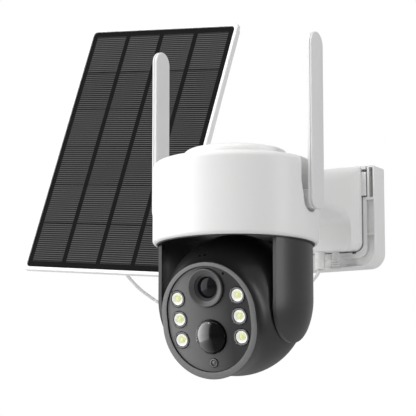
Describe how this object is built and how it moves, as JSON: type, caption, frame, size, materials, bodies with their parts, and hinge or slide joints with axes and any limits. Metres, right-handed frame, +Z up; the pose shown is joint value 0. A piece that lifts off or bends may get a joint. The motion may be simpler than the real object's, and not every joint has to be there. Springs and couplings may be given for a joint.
{
  "type": "solar-powered pan and tilt security camera",
  "caption": "Outdoor pan and tilt camera: white drum shell with fold-down antennas, dark turning head, wall arm and bracket, and a separate solar panel on its own stem with cable.",
  "frame": {"origin": "centre of the wall bracket's back face, on the wall plane", "axes": "+Z up, -Y out of the wall and along the camera's view, +X to the right of a viewer who faces the wall"},
  "size_m": [0.2713, 0.217, 0.2859],
  "materials": {
    "white_shell": "fine-textured moulded ABS",
    "antenna_white": "satin moulded ABS",
    "panel_white": "satin moulded ABS",
    "charcoal_plastic": "satin moulded ABS, near black",
    "dome_plastic": "dark infrared-passing polyethylene",
    "face_plastic": "dark grey satin face",
    "optical_glass": "coated optical glass",
    "solar_cells": "cells under a clear laminate",
    "battery_wrap": "shrink sleeve",
    "circuit_board": "solder resist",
    "gear_nylon": "natural nylon",
    "led_lens": "clear lens over a phosphor chip",
    "cable_jacket": "smooth white jacket",
    "soft_rubber": "light grey silicone",
    "bare_steel": "zinc-plated steel"
  },
  "bodies": {
    "wall_mount": {"base_plate": "charcoal_plastic", "battery_cell_1": "battery_wrap", "battery_cell_2": "battery_wrap", "battery_cell_3": "battery_wrap", "battery_tray": "charcoal_plastic", "cable_gland": "white_shell", "cap_seal": "soft_rubber", "left_antenna_pin": "bare_steel", "lower_stem_screw": "bare_steel", "main_board": "circuit_board", "mount_arm": "white_shell", "pan_bearing": "gear_nylon", "pan_motor": "bare_steel", "panel_stem": "panel_white", "right_antenna_pin": "bare_steel", "solar_cable": "cable_jacket", "spare_port_plug": "soft_rubber", "swivel_bolt": "bare_steel", "top_cap": "white_shell", "upper_shell": "white_shell", "upper_stem_screw": "bare_steel", "wall_bracket": "white_shell", "wall_screw_1": "bare_steel", "wall_screw_2": "bare_steel", "wall_screw_3": "bare_steel"},
    "yoke": {"yoke": "charcoal_plastic", "pan_gear": "gear_nylon", "left_tilt_pin": "bare_steel", "right_tilt_pin": "bare_steel"},
    "head": {"head_front_shell": "charcoal_plastic", "head_rear_shell": "charcoal_plastic", "face_plate": "face_plastic", "lens_barrel": "charcoal_plastic", "lens_glass": "optical_glass", "motion_dome": "dome_plastic", "light_sensor": "optical_glass", "head_board": "circuit_board", "tilt_motor": "bare_steel", "speaker": "bare_steel", "led_1": "led_lens", "led_2": "led_lens", "led_3": "led_lens", "led_4": "led_lens", "led_5": "led_lens", "led_6": "led_lens"},
    "pan_pinion": {"pan_pinion": "bare_steel"},
    "left_antenna": {"left_antenna": "antenna_white"},
    "right_antenna": {"right_antenna": "antenna_white"},
    "panel_swivel": {"swivel_block": "panel_white", "cable_lead": "cable_jacket"},
    "panel": {"panel_frame": "panel_white", "panel_laminate": "solar_cells", "panel_hub": "panel_white", "tilt_bolt": "bare_steel", "junction_box": "charcoal_plastic", "cable_outlet": "soft_rubber"}
  },
  "joints": [
    {"name": "pan", "type": "hinge", "parent": "wall_mount", "child": "yoke", "pos_m": [0, -0.162, -0.057], "axis": [0, 0, 1], "range_deg": [-175, 175]},
    {"name": "pan_pinion_spin", "type": "hinge", "parent": "wall_mount", "child": "pan_pinion", "pos_m": [0.0315, -0.162, -0.017], "axis": [0, 0, 1], "range_deg": [-565, 565]},
    {"name": "tilt", "type": "hinge", "parent": "yoke", "child": "head", "pos_m": [0, -0.162, -0.077], "axis": [1, 0, 0], "range_deg": [-20, 77]},
    {"name": "left_antenna_fold", "type": "hinge", "parent": "wall_mount", "child": "left_antenna", "pos_m": [-0.0587, -0.1608, -0.0102], "axis": [1, 0, 0], "range_deg": [-30, 90]},
    {"name": "right_antenna_fold", "type": "hinge", "parent": "wall_mount", "child": "right_antenna", "pos_m": [0.0587, -0.1608, -0.0102], "axis": [1, 0, 0], "range_deg": [-30, 90]},
    {"name": "panel_swivel", "type": "hinge", "parent": "wall_mount", "child": "panel_swivel", "pos_m": [-0.12989, -0.04881, 0.0492], "axis": [0, 0, 1], "range_deg": [-45, 45], "deforming": ["cable_lead"]},
    {"name": "panel_tilt", "type": "hinge", "parent": "panel_swivel", "child": "panel", "pos_m": [-0.1305, -0.0618, 0.0492], "axis": [0.9989, -0.0471, 0], "range_deg": [-20, 16], "deforming": ["cable_lead"]}
  ],
  "couplings": [
    {"joint": "pan_pinion_spin", "follows": "pan", "ratio": -3.2}
  ]
}
